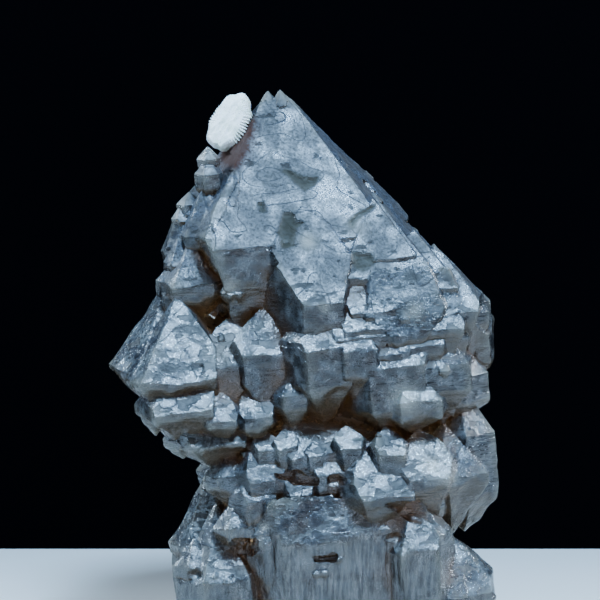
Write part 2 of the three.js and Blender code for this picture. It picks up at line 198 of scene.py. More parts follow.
def crown_crystals():
    yield grown(APEX_X, APEX_U, 0, 13.3, apex=True, prism=3.3, faces=CROWN, under=74,
                reach=(1, 1.9, 0.94, 0.94, 0.98, 1.14), lift=(0, 0.6, 0, 0, 3.4, 3.6))
    # its right face goes on down to the right
    yield grown(4, 54.2, 0.3, 13, apex=True, prism=3, faces=CROWN, under=50,
                reach=(1, 1.27, 0.84, 0.8, 1, 1), drop=flanks(10, 0))
    # nubs on the tip
    yield grown(*on_crown(-4.6, 62, 0.25), 1.5, prism=1, under=70, reach=flanks(0.7, 0.8, 1))
    yield grown(*on_crown(-6.3, 62.5, 0.1), 1.1, prism=1, under=70, reach=flanks(0.7, 0.8, 1))
    # steps that carry the front face on downwards
    yield grown(*on_crown(-0.2, 40, 0.12), 6.6, prism=0.3, under=60, reach=flanks(1, 0.92, 1),
                lift=flanks(2, 3))
    yield grown(*on_crown(0, 37, 0.1), 6.2, prism=2.9, under=60, reach=flanks(0.9, 0.8, 1),
                lift=flanks(3, 3))
    yield grown(*on_crown(8.2, 42.8, 0.1), 5.4, prism=0.8, faces=CROWN, under=60)
    # the gently stepped, wavy lower right
    wide = {"faces": CROWN, "under": 60, "lift": flanks(1, 4)}
    yield grown(11.2, 33, -12.4, 3.8, prism=0.6, rise=66, under=60, reach=(1, 2, 2, 1, 2, 2),
                lift=(0, 7, 7, 0, 7, 7))
    yield grown(15.4, 33.8, -10.8, 3.2, prism=0.8, spin=4, rise=66, under=60,
                reach=(1, 1.6, 2, 1, 2, 2), lift=(0, 4, 6, 0, 6, 6))
    yield grown(9.4, 40.6, -10.5, 6.6, prism=0.4, faces=CROWN, under=60, lift=flanks(0, 3))
    yield grown(13.4, 38.6, -10.1, 5.6, prism=0.4, faces=CROWN, under=60, lift=flanks(0, 3))
    yield grown(8.6, 36.2, -12.1, 5.4, prism=0.4, **wide)
    yield grown(15.8, 35.8, -10.2, 5.8, prism=0.6, **wide)
    yield grown(7.2, 33.8, -12.9, 4.8, prism=0.6, **wide)
    yield grown(13.6, 33.4, -11.7, 6.2, prism=0.6, **wide)
    yield grown(5.4, 32.6, -13.3, 4, prism=0.8, **wide)
    yield grown(18.6, 37.2, -6.6, 3.2, prism=1.2, under=60, spin=14)
    yield grown(19.8, 35.6, -6.2, 3, prism=1.4, under=60, spin=20)
    yield grown(18.9, 36.8, -3.5, 6, prism=4.4, under=55, spin=30)
    yield grown(15.8, 32.6, -9.4, 5.6, prism=1, under=60, spin=14, reach=flanks(1, 0.7, 1))


def shoulder_crystals():
    yield grown(-15.8, 39.4, -9.6, 4.2, prism=1.9, under=45, spin=-12)
    yield grown(-18.2, 43.4, -6, 2.5, prism=1.5, under=60, spin=-34, rise=66)
    yield grown(-17.6, 42, -7.5, 1.9, prism=1.5, under=60, spin=-14, rise=60)
    yield grown(-15.2, 45.6, -8, 3, prism=1.5, under=50, spin=-25, rise=60)
    yield grown(-16.2, 49.4, -5.6, 1.4, prism=1.5, under=60, spin=-5, rise=45)
    yield grown(-14.6, 48.4, -6.9, 2.2, prism=1.5, under=60, spin=-30, rise=55)
    yield grown(-13.7, 55, -6.2, 1.4, prism=1, under=50)
    yield grown(-13.6, 53.1, -6.8, 1.7, prism=1.9, under=50)
    yield grown(-17.9, 38, -8, 2.8, prism=1.6, under=50, spin=-24)
    # stained steps that the white crystal sits on
    yield grown(-9.2, 58.2, -1.9, 1.8, prism=1.4, under=60, spin=-20)
    yield grown(-10, 56.2, -3.2, 2, prism=1.6, under=60, spin=-26)
    yield grown(-9.4, 54.4, -4.7, 1.6, prism=1.2, under=60, spin=-14)
    yield grown(-10.6, 56.6, -0.6, 2.4, prism=2.4, under=40, spin=-30)


def second_tier_crystals():
    # the large left wing
    yield grown(-15.6, 27.6, -14.4, 7.4, prism=0.6, under=48, faces=CROWN, rise=53,
                reach=flanks(0.66, 1.05, 1))
    yield grown(-15.2, 23.6, -14.6, 6.6, prism=0.5, under=40, faces=CROWN,
                reach=flanks(0.6, 0.9, 1))
    yield grown(-16.2, 28.3, -10.5, 8.2, prism=0.4, under=44, faces=CROWN, rise=54,
                reach=flanks(0.8, 0.98, 1))
    yield grown(-12, 22.4, -13.6, 3, prism=0.6, under=44, spin=-4, lift=flanks(1, 2))
    yield grown(-12.6, 19.6, -12, 5.6, prism=0.6, under=36, spin=-6, lift=flanks(2, 2))
    # the middle, with a tall dark prism under a bright strip
    yield grown(-10.2, 29.4, -11.6, 4.2, prism=5, under=50, reach=flanks(1, 1.3, 1),
                lift=flanks(2, 2))
    yield grown(-5.2, 30.9, -11.7, 4.6, prism=6, under=50, reach=flanks(1.25, 1.3, 1),
                lift=flanks(3, 4))
    yield grown(-7.6, 23, -12.4, 3, prism=1.4, under=40, lift=flanks(1.6, 1))
    yield grown(1, 31.4, -14.3, 5, prism=5, under=50, lift=flanks(1, 1))
    yield grown(5, 31.2, -13.9, 3.6, prism=3.4, under=50)
    yield grown(-3.2, 25.8, -12.4, 2.4, prism=2, under=50, lift=flanks(1, 0))
    # the right
    yield grown(9.8, 29.3, -12.7, 6.6, prism=6, under=50, spin=-2, reach=flanks(0.9, 1, 1))
    yield grown(8.6, 31, -12.6, 4.2, prism=1, under=60, spin=-2, lift=flanks(2, 2))
    yield grown(12.8, 31.6, -11.6, 4.4, prism=1.2, under=60, spin=2, lift=flanks(2, 2))
    yield grown(15.6, 29.2, -10.4, 5.6, prism=3.4, under=50, spin=12)
    yield grown(18.9, 28, -5.6, 5.4, prism=3.4, under=44, spin=30)
    yield grown(12.4, 24.6, -12.4, 4.6, prism=2, under=40, spin=3)


def third_tier_crystals():
    yield grown(2.6, 18.2, -10.9, 9, prism=4, under=50, reach=flanks(1, 1.1, 1), lift=flanks(3, 3))
    yield grown(-6.6, 18.9, -11.4, 1.9, prism=2, under=70, lift=flanks(1.2, 1.2))
    yield grown(-4, 19.2, -11.7, 1.7, prism=2.2, under=70, lift=flanks(1.2, 1.2))
    yield grown(-0.6, 17.6, -11.9, 1.5, prism=1.4, under=70, lift=flanks(1, 1))
    yield grown(3.9, 18.9, -12, 2.2, prism=2.2, under=70, lift=flanks(1, 1))
    yield grown(8.8, 18.3, -12.2, 2.6, prism=2.2, under=70, lift=flanks(1, 1))
    yield grown(13.6, 15.2, -12, 4.6, prism=1.2, under=60, lift=flanks(2, 2))
    yield grown(18.6, 15.6, -8.4, 5, prism=1.4, under=55, spin=20)
    yield grown(20.2, 20.8, -4.4, 4, prism=8.6, under=50, spin=30, rise=60)
    yield grown(-6.6, 14.9, -12.2, 3.8, prism=1.2, under=60, lift=flanks(1, 1))
    yield grown(-7.4, 12.7, -12.2, 3, prism=1.4, under=70, lift=flanks(1, 1))
    yield grown(1.6, 15.6, -11.7, 3.4, prism=1.6, under=70, lift=flanks(2, 2))
    yield grown(-2.4, 13.2, -12.1, 2.4, prism=1, under=70, lift=flanks(1, 1))
    yield grown(8.6, 12.8, -13.4, 5.6, prism=0.8, under=50, spin=4, lift=flanks(2, 2))
    yield grown(-11, 15.4, -10.8, 3, prism=1.6, under=50, spin=-12)


def foot_crystals():
    # the broad, nearly flat front of the stem
    yield grown(3.2, 7.4, -12.6, 2.1, prism=24, under=50, rise=71, reach=(1, 4.6, 5, 5, 5, 3.8),
                lift=(0, 24, 24, 0, 24, 24))
    yield grown(13, 6.2, -12.6, 5, prism=18, under=50, rise=58, reach=flanks(0.8, 1, 1))
    yield grown(19.4, 0.8, -8.2, 6.6, prism=16, under=50, spin=14, rise=46,
                reach=flanks(0.8, 1, 1))
    yield grown(-15.2, 4.2, -9.6, 2.6, prism=1.3, under=40, spin=-6)
    yield grown(-14, 6.6, -7.4, 4.6, prism=0.4, under=66, spin=-16, rise=62)
    yield grown(-9.8, 9.2, -11.6, 2.8, prism=1.2, under=60, spin=-6)
    yield grown(-11.6, 2.2, -11, 5.2, prism=18, under=60, spin=-4, rise=60)
    yield grown(-5.4, 7, -12.7, 3, prism=2, under=76, rise=66)


# The tiers go on round the sides and back: level, radius, size, prism height and headings
RING_AXIS = (1.0, 6.4)
RINGS = (
    (47.5, 15.6, 7.4, 2.6, (150, 184, 222, 246)),
    (42, 14.6, 4.8, 1.6, (108, 140, 176, 222, 250)),
    (37, 17.4, 7.8, 4, (106, 140, 184, 228, 252)),
    (30.5, 16, 5, 1.8, (118, 160, 206, 238)),
    (25, 14.6, 5.4, 2.2, (104, 134, 170, 196, 226, 246)),
    (18, 16.4, 6, 3.4, (116, 152, 186, 214, 238)),
    (9.5, 15.8, 6.6, 24, (102, 128, 160, 192, 222, 246)),
)
SPREAD_LEVEL, SPREAD_RADIUS, SPREAD_SIZE = 5, 2, 3


def ring_crystals():
    for tier, (level, radius, size, prism, azimuths) in enumerate(RINGS):
        for place, azimuth in enumerate(azimuths):
            seed = tier * 10 + place
            height = level + SPREAD_LEVEL * (wobble(seed + 1) - 0.5)
            out = radius + SPREAD_RADIUS * (wobble(seed + 101) - 0.5)
            big = size + SPREAD_SIZE * (wobble(seed + 201) - 0.5)
            point = heading(azimuth) * out
            point = point + np.array([RING_AXIS[0] - BASE_MIDDLE[0], RING_AXIS[1] - BASE_MIDDLE[1], height])
            yield Crystal(point, big, prism=prism, under=50, spin=azimuth - TURN)


def all_crystals():
    groups = (core_crystals, crown_crystals, shoulder_crystals, second_tier_crystals,
              third_tier_crystals, foot_crystals, ring_crystals)
    return [crystal for group in groups for crystal in group()]


# Hollows, as outlines on the sheet, and the pockets' depths there
PIT_DEPTH = 0.6
PIT_FLOOR = 0.75  # the part of that depth that the plain floor has
CROWN_PITS = (
    ((-5.1, 53.9), (-4, 54.1), (-2.2, 53.1), (-0.1, 53), (-0.4, 51.9), (-2, 51), (-3.7, 52.6)),
    ((-8, 49.6), (-7, 49.8), (-6.6, 48.6), (-7.3, 48.2)),
    ((-4.6, 48.5), (-3.4, 48.5), (-2.9, 47.4), (-1.8, 47.2), (-2.9, 46.4), (-3.2, 44), (-4.8, 43.8),
     (-5.3, 46)),
    ((3.2, 47.2), (4.4, 48.4), (6.9, 49.6), (7, 49), (5.4, 48), (4, 46.4)),
    ((3.9, 43.6), (6.4, 43.4), (7, 42.2), (5.4, 40.6), (4, 41.6)),
)
POCKETS = (
    (((-5.6, 15.7), (-3, 16.3), (0, 15.4), (0, 14.5), (-3.4, 14.4)), -10.4),
    (((1.2, 14.4), (3, 12.8), (1.6, 12.8)), -11.2),
    (((7.8, 12.2), (12.4, 12.6), (15.2, 9.4), (11.2, 9.8)), -10.0),
    (((-11.3, 8), (-7.4, 7.8), (-7.8, 5.6), (-10.8, 5.5)), -8.8),
    (((-1.2, 5.8), (2.4, 6), (2.2, 5), (-0.8, 4.8)), -10.9),
)


def outline_distance(x, u, outline):
    """Distance on the sheet to a closed outline, negative inside it."""
    nearest = np.full(x.shape, 1e9, np.float32)
    inside = np.zeros(x.shape, bool)
    for (x0, u0), (x1, u1) in zip(outline, outline[1:] + outline[:1]):
        along = np.clip(((x - x0) * (x1 - x0) + (u - u0) * (u1 - u0))
                        / ((x1 - x0) ** 2 + (u1 - u0) ** 2), 0, 1)
        nearest = np.minimum(nearest, np.hypot(x - x0 - along * (x1 - x0), u - u0 - along * (u1 - u0)))
        crosses = (u0 > u) != (u1 > u)
        if u0 != u1:
            inside ^= crosses & (x < (x1 - x0) * (u - u0) / (u1 - u0) + x0)
    return np.where(inside, -nearest, nearest)


# Raised growth plates near the crown's left edge, as outlines on the sheet
GROWTH_PLATES = (
    ((-10.5, 54.1), (-9.9, 53), (-10.2, 51.6), (-10, 51.1), (-10.6, 49.1), (-11.2, 49.2), (-11.5, 50),
     (-10.7, 51.2), (-10.4, 52.5), (-10.9, 53.6), (-11.8, 54)),
    ((-11, 53.3), (-11.8, 51.7), (-12, 50.7), (-13.4, 49.4), (-13.9, 47.7), (-13.1, 45.6), (-12.6, 47.2),
     (-11.7, 48.5), (-11.5, 50), (-10.8, 51.2), (-10.5, 52.4)),
)
PLATE_RISE = 0.12  # and the width of its sloping edge
STREAK = np.array([1.0, 1.0, 0.14])  # squeezes noise into streaks along the axis
STEM_TOP = 19.0  # z below which the faces have such streaks

# Cloudy white spots in the quartz, on the sheet: x, u, radius and strength
CLOUDS = ((-1.5, 44.8, 1.3, 0.9), (10.6, 25.2, 2.2, 1.0), (11.8, 36.1, 1.5, 0.6), (-11, 39.2, 1.0, 0.8),
          (0.6, 36.5, 0.9, 0.7), (14, 16.8, 1.4, 1.0), (16.2, 15.4, 1.2, 0.8), (-7, 9.4, 0.8, 0.8),
          (4.6, 46.6, 1.8, 0.35), (-12.5, 31, 2.4, 0.3))
# Iron stain, with painted shade in its dark red-brown, on the steps beside the white crystal: x, u, radius
# and strength
STAINS_AND_SHADE = ((-10, 58.4, 2.2, 1.5), (-10.6, 56.8, 2.2, 1.5), (-11.2, 55.2, 1.8, 1.3), (-9.3, 60.2, 1.3, 1.3))
FRONT_DEPTH = 2.0  # spots and stains reach this far back on the sheet

# Relief of the faces in mm, as layers of noise: size of the lumps, seed and rise
BENDS = ((4.2, 11, 0.26), (1.5, 21, 0.07))
HILLS = ((5.0, 1, 1.0), (2.1, 2, 0.5), (0.9, 3, 0.2))
WAVES = ((3.2, 17, 1.0),)
STRIATIONS = ((1.0, 4, 0.10), (0.5, 5, 0.04))
STREAKS = ((0.9, 15, 0.12), (0.45, 16, 0.06))
UNDERSIDES = ((2.6, 7, 0.36), (1.1, 8, 0.14))
STRIATION_SQUEEZE = 0.12  # draws the striations out sideways
TERRACE_COUNT, TERRACE_RISE, TERRACE_EDGE = 5, 0.14, 6
WAVE_RISE = 0.16
ROUND = 0.35  # rounding of the edges over the undersides

# Small crystals grown all over the tiers in the same direction, and hollows of the same shape
SMALL_COUNT = 380
HOLLOW_COUNT = 90
SMALL_SIZES = (0.35, 1.8)
SMALL_REACHES = (0.8, 1.15)
SINKS = (0.60, 0.76)  # how deep one sits, as a part of its size
CROWN_CHANCE, FRONT_CHANCE, HOLLOW_CHANCE = 0.01, 0.45, 0.22
CANDIDATE_STEP = 0.5
BLOCK = 4.0  # distances are worked out in blocks of this size
MARGIN = 1.3

# How crowded a place is: reaches in grid steps, and where recesses, which get painted shade, and standing
# edges, which get a painted highlight, begin
REACHES = (2, 5)
RECESS_FROM, RIM_UNTIL, SHADE_WIDTH = 0.52, 0.42, 0.2
SHARP_ANGLE = 28


class Shapes:
    """Many crystals at once, looked up by where they are."""

    def __init__(self, crystals):
        self.planes = np.array([crystal.kinds for crystal in crystals], np.float32)
        self.low = np.array([crystal.low for crystal in crystals], np.float32) - MARGIN
        self.high = np.array([crystal.high for crystal in crystals], np.float32) + MARGIN

    def distance(self, points, relief):
        """Distance to the nearest crystal whose three kinds of faces carry the given relief."""
        far = np.full(len(points), 3.0, np.float32)
        block = np.floor(points / BLOCK).astype(np.int64)
        block -= block.min(0)
        size = block.max(0) + 1
        key = (block[:, 0] * size[1] + block[:, 1]) * size[2] + block[:, 2]
        order = np.argsort(key, kind="stable")
        starts = np.flatnonzero(np.diff(key[order], prepend=-1))
        for first, last in zip(starts, [*starts[1:], len(order)]):
            mine = order[first:last]
            place = points[mine]
            near = ((self.low < place.max(0)) & (self.high > place.min(0))).all(1)
            if not near.any():
                continue
            planes = self.planes[near]
            flat = planes.reshape(-1, 4)
            away = place @ flat[:, :3].T - flat[:, 3]
            away = away.reshape(len(place), len(planes), 3, -1).max(3) - relief[mine, None, :]
            sharp = away[..., :2].max(2)
            # the edges over the undersides are rounded
            under = away[..., 2]
            blend = np.clip(0.5 - 0.5 * (sharp - under) / ROUND, 0, 1)
            rounded = sharp + (under - sharp) * blend + ROUND * blend * (1 - blend)
            far[mine] = rounded.min(1)
        return far


def small_crystals(far, lines):
    """Places for the small crystals and hollows, from the plain faces: two lists of crystals."""
    near = np.argwhere(np.abs(far) < 0.5 * CANDIDATE_STEP)
    near = near[(near > 0).all(1) & (near < np.array(far.shape) - 1).all(1)]
    points = np.stack([line[near[:, k]] for k, line in enumerate(lines)], 1)
    slopes = []
    for axis in range(3):
        step = np.zeros(3, int)
        step[axis] = 1
        slopes.append(far[tuple((near + step).T)] - far[tuple((near - step).T)])
    slopes = np.stack(slopes, 1)
    slopes /= np.maximum(np.linalg.norm(slopes, axis=1), 1e-6)[:, None]
    chance = np.random.default_rng(7)
    order = chance.permutation(len(near))
    clusters = noise(points, 7.0, 31) + noise(points, 2.5, 32)
    offset = points - FOOT
    x, u, d = offset @ RIGHT, offset @ UP, offset @ AWAY
    crown = (d < on_crown(x, u, -2.0)[2]) & (u > 41) & (u - 41 > -0.2 * x)
    front = d < -6
    wanted = np.where(crown, CROWN_CHANCE, (0.5 + 0.5 * clusters) * np.where(front, FRONT_CHANCE, 1.0))
    raised, sunk = [], []
    for index in order:
        if len(raised) >= SMALL_COUNT:
            break
        if chance.random() > wanted[index] or points[index, 2] < 0.5:
            continue
        size = SMALL_SIZES[0] + (SMALL_SIZES[1] - SMALL_SIZES[0]) * chance.random() ** 2.6
        sink = chance.uniform(*SINKS)
        hollow = len(sunk) < HOLLOW_COUNT and chance.random() < HOLLOW_CHANCE
        middle = points[index] + slopes[index] * size * sink * (1 if hollow else -1)
        crystal = Crystal(middle, size, prism=0.3 * size * chance.random(), under=50, apex="middle",
                          reach=tuple(chance.uniform(*SMALL_REACHES, 6)))
        (sunk if hollow else raised).append(crystal)
    return raised, sunk


class Quartz:
    """The whole stack as a distance: negative inside, in mm."""

    def __init__(self, crystals, raised, sunk):
        self.grown = Shapes(crystals + raised)
        self.sunk = Shapes(sunk)

    def on_sheet(self, points):
        offset = points - FOOT
        return offset @ RIGHT, offset @ UP, offset @ AWAY

    def warp(self, points):
        """Bends the tiers' faces a little, and the crown's hardly at all."""
        _, u, _ = self.on_sheet(points)
        much = np.clip((44 - u) / 7, 0.10, 1).astype(np.float32)[:, None]
        bend = np.stack([layered(points, [(size, seed + k, rise) for size, seed, rise in BENDS])
                         for k in range(3)], 1)
        return (points + bend * much).astype(np.float32)

    def relief(self, points):
        """How far the end faces, the prism faces and the faces below are raised or sunk."""
        steps = layered(points, HILLS) * TERRACE_COUNT
        part = steps - np.floor(steps)
        terraces = (np.floor(steps) + np.clip(part * TERRACE_EDGE, 0, 1)) / TERRACE_COUNT * TERRACE_RISE
        # the lower end faces are wavy, and the crown's is nearly flat
        x, u, d = self.on_sheet(points)
        terraces += layered(points, WAVES) * np.clip((48 - u) / 8, 0.15, 1) * WAVE_RISE
        along = points @ AXIS.astype(np.float32)
        sideways = points[:, :2] * STRIATION_SQUEEZE
        striations = layered(np.column_stack([sideways, along]), STRIATIONS)
        # on the stem, etched streaks run down the faces instead
        streaks = layered(points * STREAK, STREAKS)
        stem = np.clip((points[:, 2] - STEM_TOP) / 4 + 1, 0, 1)
        striations = striations * stem + streaks * (1 - stem) + noise(points, 2.6, 6) * 0.08
        undersides = layered(points, UNDERSIDES)
        front = (u > 44) & (d < on_crown(x, u, -1)[2])
        near = np.flatnonzero(front)
        for outline in GROWTH_PLATES:
            rim = outline_distance(x[near], u[near], outline)
            terraces[near] += np.clip(-rim / PLATE_RISE, 0, 1) * PLATE_RISE
        return np.stack([terraces, striations, undersides], 1)

    def distance(self, points):
        """Distance to the finished surface."""
        points = points.astype(np.float32)
        bent = self.warp(points)
        relief = self.relief(points)
        far = self.grown.distance(bent, relief)
        far = np.maximum(far, -self.sunk.distance(bent, -0.4 * relief))
        far = self.hollowed(points, far)
        return np.maximum(far, -points[:, 2])

    def hollowed(self, points, far):
        x, u, d = self.on_sheet(points)
        ragged = noise(points, 0.8, 9) * 0.2
        for outline in CROWN_PITS:
            near = self.close_to(outline, x, u, d < 0)
            rim = outline_distance(x[near], u[near], outline) + ragged[near]
            depth = np.clip(-rim * 1.6, 0, 1) * PIT_DEPTH * PIT_FLOOR + ragged[near]
            floor = on_crown(x[near], u[near])[2] + depth
            far[near] = np.maximum(far[near], np.where(rim < 0, floor - d[near], -3) * 0.6)
        for outline, floor in POCKETS:
            near = self.close_to(outline, x, u, d < floor + 1)
            rim = outline_distance(x[near], u[near], outline) + ragged[near] * 1.6
            hole = np.maximum(rim, d[near] - floor)
            far[near] = np.maximum(far[near], -hole)
        return far

    def close_to(self, outline, x, u, among):
        box = np.array(outline)
        low, high = box.min(0) - 1, box.max(0) + 1
        return np.flatnonzero((x > low[0]) & (x < high[0]) & (u > low[1]) & (u < high[1]) & among)


def crowding(far):
    """How full of quartz the neighbourhood of each grid point is, near and wider, from 0 to 1."""
    full = (far < 0).astype(np.float32)
    scales = []
    for reach in REACHES:
        soft = full
        for _ in range(2):
            for axis in range(3):
                widths = [(reach + 1, reach) if k == axis else (0, 0) for k in range(3)]
                total = np.cumsum(np.pad(soft, widths, mode="edge"), axis=axis)
                after = np.take(total, range(2 * reach + 1, total.shape[axis]), axis)
                before = np.take(total, range(0, total.shape[axis] - 2 * reach - 1), axis)
                soft = (after - before) / (2 * reach + 1)
        scales.append(soft)
    return scales


def sampled(field, lines, points):
    """Values of a field on grid lines at any points."""
    place = []
    for k, line in enumerate(lines):
        step = (points[:, k] - line[0]) / (line[1] - line[0])
        place.append(np.clip(step, 0, len(line) - 1.001))
    place = np.stack(place, 1)
    low = place.astype(int)
    part = place - low
    total = 0
    for corner in itertools.product((0, 1), repeat=3):
        weight = np.prod(np.where(corner, part, 1 - part), 1)
        total = total + weight * field[tuple((low + corner).T)]
    return total


# Meshing: one corner per grid cell that the surface passes through, set where the faces meet

def grid_lines():
    low = np.array(CAD_BOX[0]) / MM
    high = np.array(CAD_BOX[1]) / MM
    xs = np.arange(low[0] - 1, high[0] + 1, FINE)
    front = np.arange(low[1] - 1, FINE_UNTIL, FINE)
    ys = np.concatenate([front, np.arange(front[-1] + COARSE, high[1] + 1.2, COARSE)])
    zs = np.arange(-1.5 * FINE, high[2] + 1, FINE)
    return xs, ys, zs


def include(far, crystal, lines):
    """Lowers the distances near a crystal to those of its flat faces."""
    spans = []
    for axis, line in enumerate(lines):
        first = np.searchsorted(line, crystal.low[axis] - 2)
        last = np.searchsorted(line, crystal.high[axis] + 2)
        spans.append(slice(first, last))
    grids = np.meshgrid(*[line[span] for line, span in zip(lines, spans)], indexing="ij")
    points = np.stack([grid.ravel() for grid in grids], 1).astype(np.float32)
    if len(points):
        block = crystal.plain(points).reshape(grids[0].shape)
        far[tuple(spans)] = np.minimum(far[tuple(spans)], block)


def plain_grid(crystals, lines):
    """Distance to the flat faces at every grid point, worked out in each crystal's own box."""
    far = np.full([len(line) for line in lines], 9.0, np.float32)
    for crystal in crystals:
        include(far, crystal, lines)
    return far


def contour(field, lines, far):
    """Corners and four-sided faces of the surface where the distance is 0."""
    inside = far < 0
    shape = np.array(far.shape)
    cell_ids, points, quads = [], [], []
    strides = np.array([shape[1] * shape[2], shape[2], 1])
    for axis in range(3):
        low = [slice(None)] * 3
        high = [slice(None)] * 3
        low[axis] = slice(0, -1)
        high[axis] = slice(1, None)
        crossing = np.argwhere(inside[tuple(low)] != inside[tuple(high)])
        side_a, side_b = [(axis + 1) % 3, (axis + 2) % 3]
        inner = (crossing[:, side_a] > 0) & (crossing[:, side_b] > 0)
        inner &= (crossing[:, side_a] < shape[side_a] - 1) & (crossing[:, side_b] < shape[side_b] - 1)
        crossing = crossing[inner]
        start = far[tuple(crossing.T)]
        ahead = crossing.copy()
        ahead[:, axis] += 1
        end = far[tuple(ahead.T)]
        part = start / (start - end)
        place = np.stack([line[crossing[:, k]] for k, line in enumerate(lines)], 1)
        place[:, axis] += part * (lines[axis][ahead[:, axis]] - lines[axis][crossing[:, axis]])
        ring = []
        for back_a, back_b in ((1, 1), (0, 1), (0, 0), (1, 0)):
            cell = crossing.copy()
            cell[:, side_a] -= back_a
            cell[:, side_b] -= back_b
            ring.append(cell @ strides)
        ring = np.stack(ring, 1)
        outward = start < 0
        quads.append(np.where(outward[:, None], ring, ring[:, ::-1]))
        points.append(place)
        cell_ids.append(ring)
    points = np.concatenate(points)
    normals = slope_at(field, points)
    cell_ids = np.concatenate(cell_ids)
    used, index = np.unique(cell_ids.ravel(), return_inverse=True)
    owner = np.repeat(np.arange(len(points)), 4)
    corners = meeting_points(used, index, points[owner], normals[owner], lines, strides)
    return corners, np.searchsorted(used, np.concatenate(quads))


def slope_at(field, points, step=0.06):
    here = field.distance(points)
    slopes = [field.distance(points + step * direction) - here for direction in np.eye(3)]
    normals = np.stack(slopes, 1) / step
    return normals / np.maximum(np.linalg.norm(normals, axis=1), 1e-6)[:, None]


def meeting_points(used, index, points, normals, lines, strides, softness=0.06):
    """The point of each cell that lies best on all the faces passing through it."""
    def total(values):
        return np.bincount(index, weights=values, minlength=len(used))
    count = total(np.ones(len(index)))
    mean = np.stack([total(points[:, k]) for k in range(3)], 1) / count[:, None]
    away = np.einsum("ij,ij->i", normals, points - mean[index])
    square = np.zeros((len(used), 3, 3))
    pull = np.zeros((len(used), 3))
    for a in range(3):
        pull[:, a] = total(normals[:, a] * away)
        for b in range(3):
            square[:, a, b] = total(normals[:, a] * normals[:, b])
    square += softness * count[:, None, None] * np.eye(3)
    shift = np.linalg.solve(square, pull[..., None])[..., 0]
    cell = np.stack([used // strides[0], used % strides[0] // strides[1], used % strides[1]], 1)
    low = np.stack([line[cell[:, k]] for k, line in enumerate(lines)], 1)
    high = np.stack([line[cell[:, k] + 1] for k, line in enumerate(lines)], 1)
    slack = 0.1 * (high - low)
    return np.clip(mean + shift, low - slack, high + slack)


def largest_part(corners, quads):
    """Leaves out loose slivers and closed bubbles."""
    label = np.arange(len(corners))
    while True:
        lowest = label[quads].min(1)
        new = label.copy()
        for k in range(4):
            np.minimum.at(new, quads[:, k], lowest)
        new = new[new]
        if (new == label).all():
            break
        label = new
    names, counts = np.unique(label, return_counts=True)
    keep = label == names[counts.argmax()]
    order = np.cumsum(keep) - 1
    return corners[keep], order[quads[keep[quads[:, 0]]]]


def to_mesh(name, corners, quads):
    mesh = bpy.data.meshes.new(name)
    mesh.from_pydata((corners * MM).tolist(), [], quads.tolist())
    mesh.validate()
    obj = bpy.data.objects.new(name, mesh)
    bpy.context.scene.collection.objects.link(obj)
    return obj


def thin_out(obj, triangles):
    """Merges the small triangles of flat places until the given number is left."""
    count = sum(len(face.vertices) - 2 for face in obj.data.polygons)
    if count <= triangles:
        return
    modifier = obj.modifiers.new("thin", "DECIMATE")
    modifier.ratio = triangles / count
    modifier.use_collapse_triangulate = True
    evaluated = obj.evaluated_get(bpy.context.evaluated_depsgraph_get())
    mesh = bpy.data.meshes.new_from_object(evaluated)
    obj.modifiers.clear()
    obj.data = mesh


def candidate_lines():
    low = np.array(CAD_BOX[0]) / MM - 4
    high = np.array(CAD_BOX[1]) / MM + 4
    return [np.arange(low[k], high[k], CANDIDATE_STEP) for k in range(3)]


def add_shade(obj, name, values):
    """Stores a value for each corner of the mesh, for its material."""
    attribute = obj.data.attributes.new(name, "FLOAT", "POINT")
    attribute.data.foreach_set("value", values.astype(np.float32))


def soft_spots(x, u, spots):
    total = np.zeros(x.shape)
    for spot_x, spot_u, radius, strength in spots:
        total += strength * np.exp(-((x - spot_x) ** 2 + (u - spot_u) ** 2) / (0.55 * radius ** 2))
    return np.clip(total, 0, 1)


def shade_quartz(obj, quartz, rough, coarse):
    """Where the surface is recessed (painted shade), outstanding (painted highlight), pitted, cloudy and
    stained (with painted shade).
    """
    corners = np.empty(len(obj.data.vertices) * 3, np.float32)
    obj.data.vertices.foreach_get("co", corners)
    corners = corners.reshape(-1, 3) / MM
    close, wide = [sampled(field, coarse, corners) for field in crowding(rough)]
    # painted brown shade in the recesses, where the neighbourhood is crowded with quartz
    add_shade(obj, "recess_shade", np.clip((wide - RECESS_FROM) / SHADE_WIDTH, 0, 1))
    # painted highlight: pale on the standing edges, where the neighbourhood holds little quartz
    add_shade(obj, "rim", np.clip((RIM_UNTIL - close) / SHADE_WIDTH, 0, 1))
    x, u, d = quartz.on_sheet(corners)
    front = d < FRONT_DEPTH
    add_shade(obj, "cloud", soft_spots(x, u, CLOUDS) * front)
    # iron stain and painted shade on the steps beside the white crystal
    add_shade(obj, "stain_and_shade", soft_spots(x, u, STAINS_AND_SHADE) * front)
    pit = np.zeros(len(corners), np.float32)
    for outline in CROWN_PITS:
        near = quartz.close_to(outline, x, u, d < 0)
        rim = outline_distance(x[near], u[near], outline)
        pit[near] = np.maximum(pit[near], np.clip(0.4 - rim * 3, 0, 1))
    add_shade(obj, "pit", pit)


def make_quartz():
    crystals = all_crystals()
    coarse = candidate_lines()
    rough = plain_grid(crystals, coarse)
    raised, sunk = small_crystals(rough, coarse)
    quartz = Quartz(crystals, raised, sunk)
    lines = grid_lines()
    far = plain_grid(crystals, lines)
    for crystal in raised:
        include(far, crystal, lines)
    band = np.argwhere(np.abs(far) < BAND)
    points = np.stack([line[band[:, k]] for k, line in enumerate(lines)], 1)
    far[tuple(band.T)] = quartz.distance(points)
    below = lines[2] <= 0
    far[:, :, below] = np.maximum(far[:, :, below], -lines[2][below])
    corners, quads = contour(quartz, lines, far)
    corners, quads = largest_part(corners, quads)
    corners[:, 2] = np.maximum(corners[:, 2], 0)
    obj = to_mesh("quartz", corners, quads)
    thin_out(obj, TRIANGLES)
    obj.data.shade_smooth()
    obj.data.set_sharp_from_angle(angle=math.radians(SHARP_ANGLE))
    shade_quartz(obj, quartz, rough, coarse)
    return obj


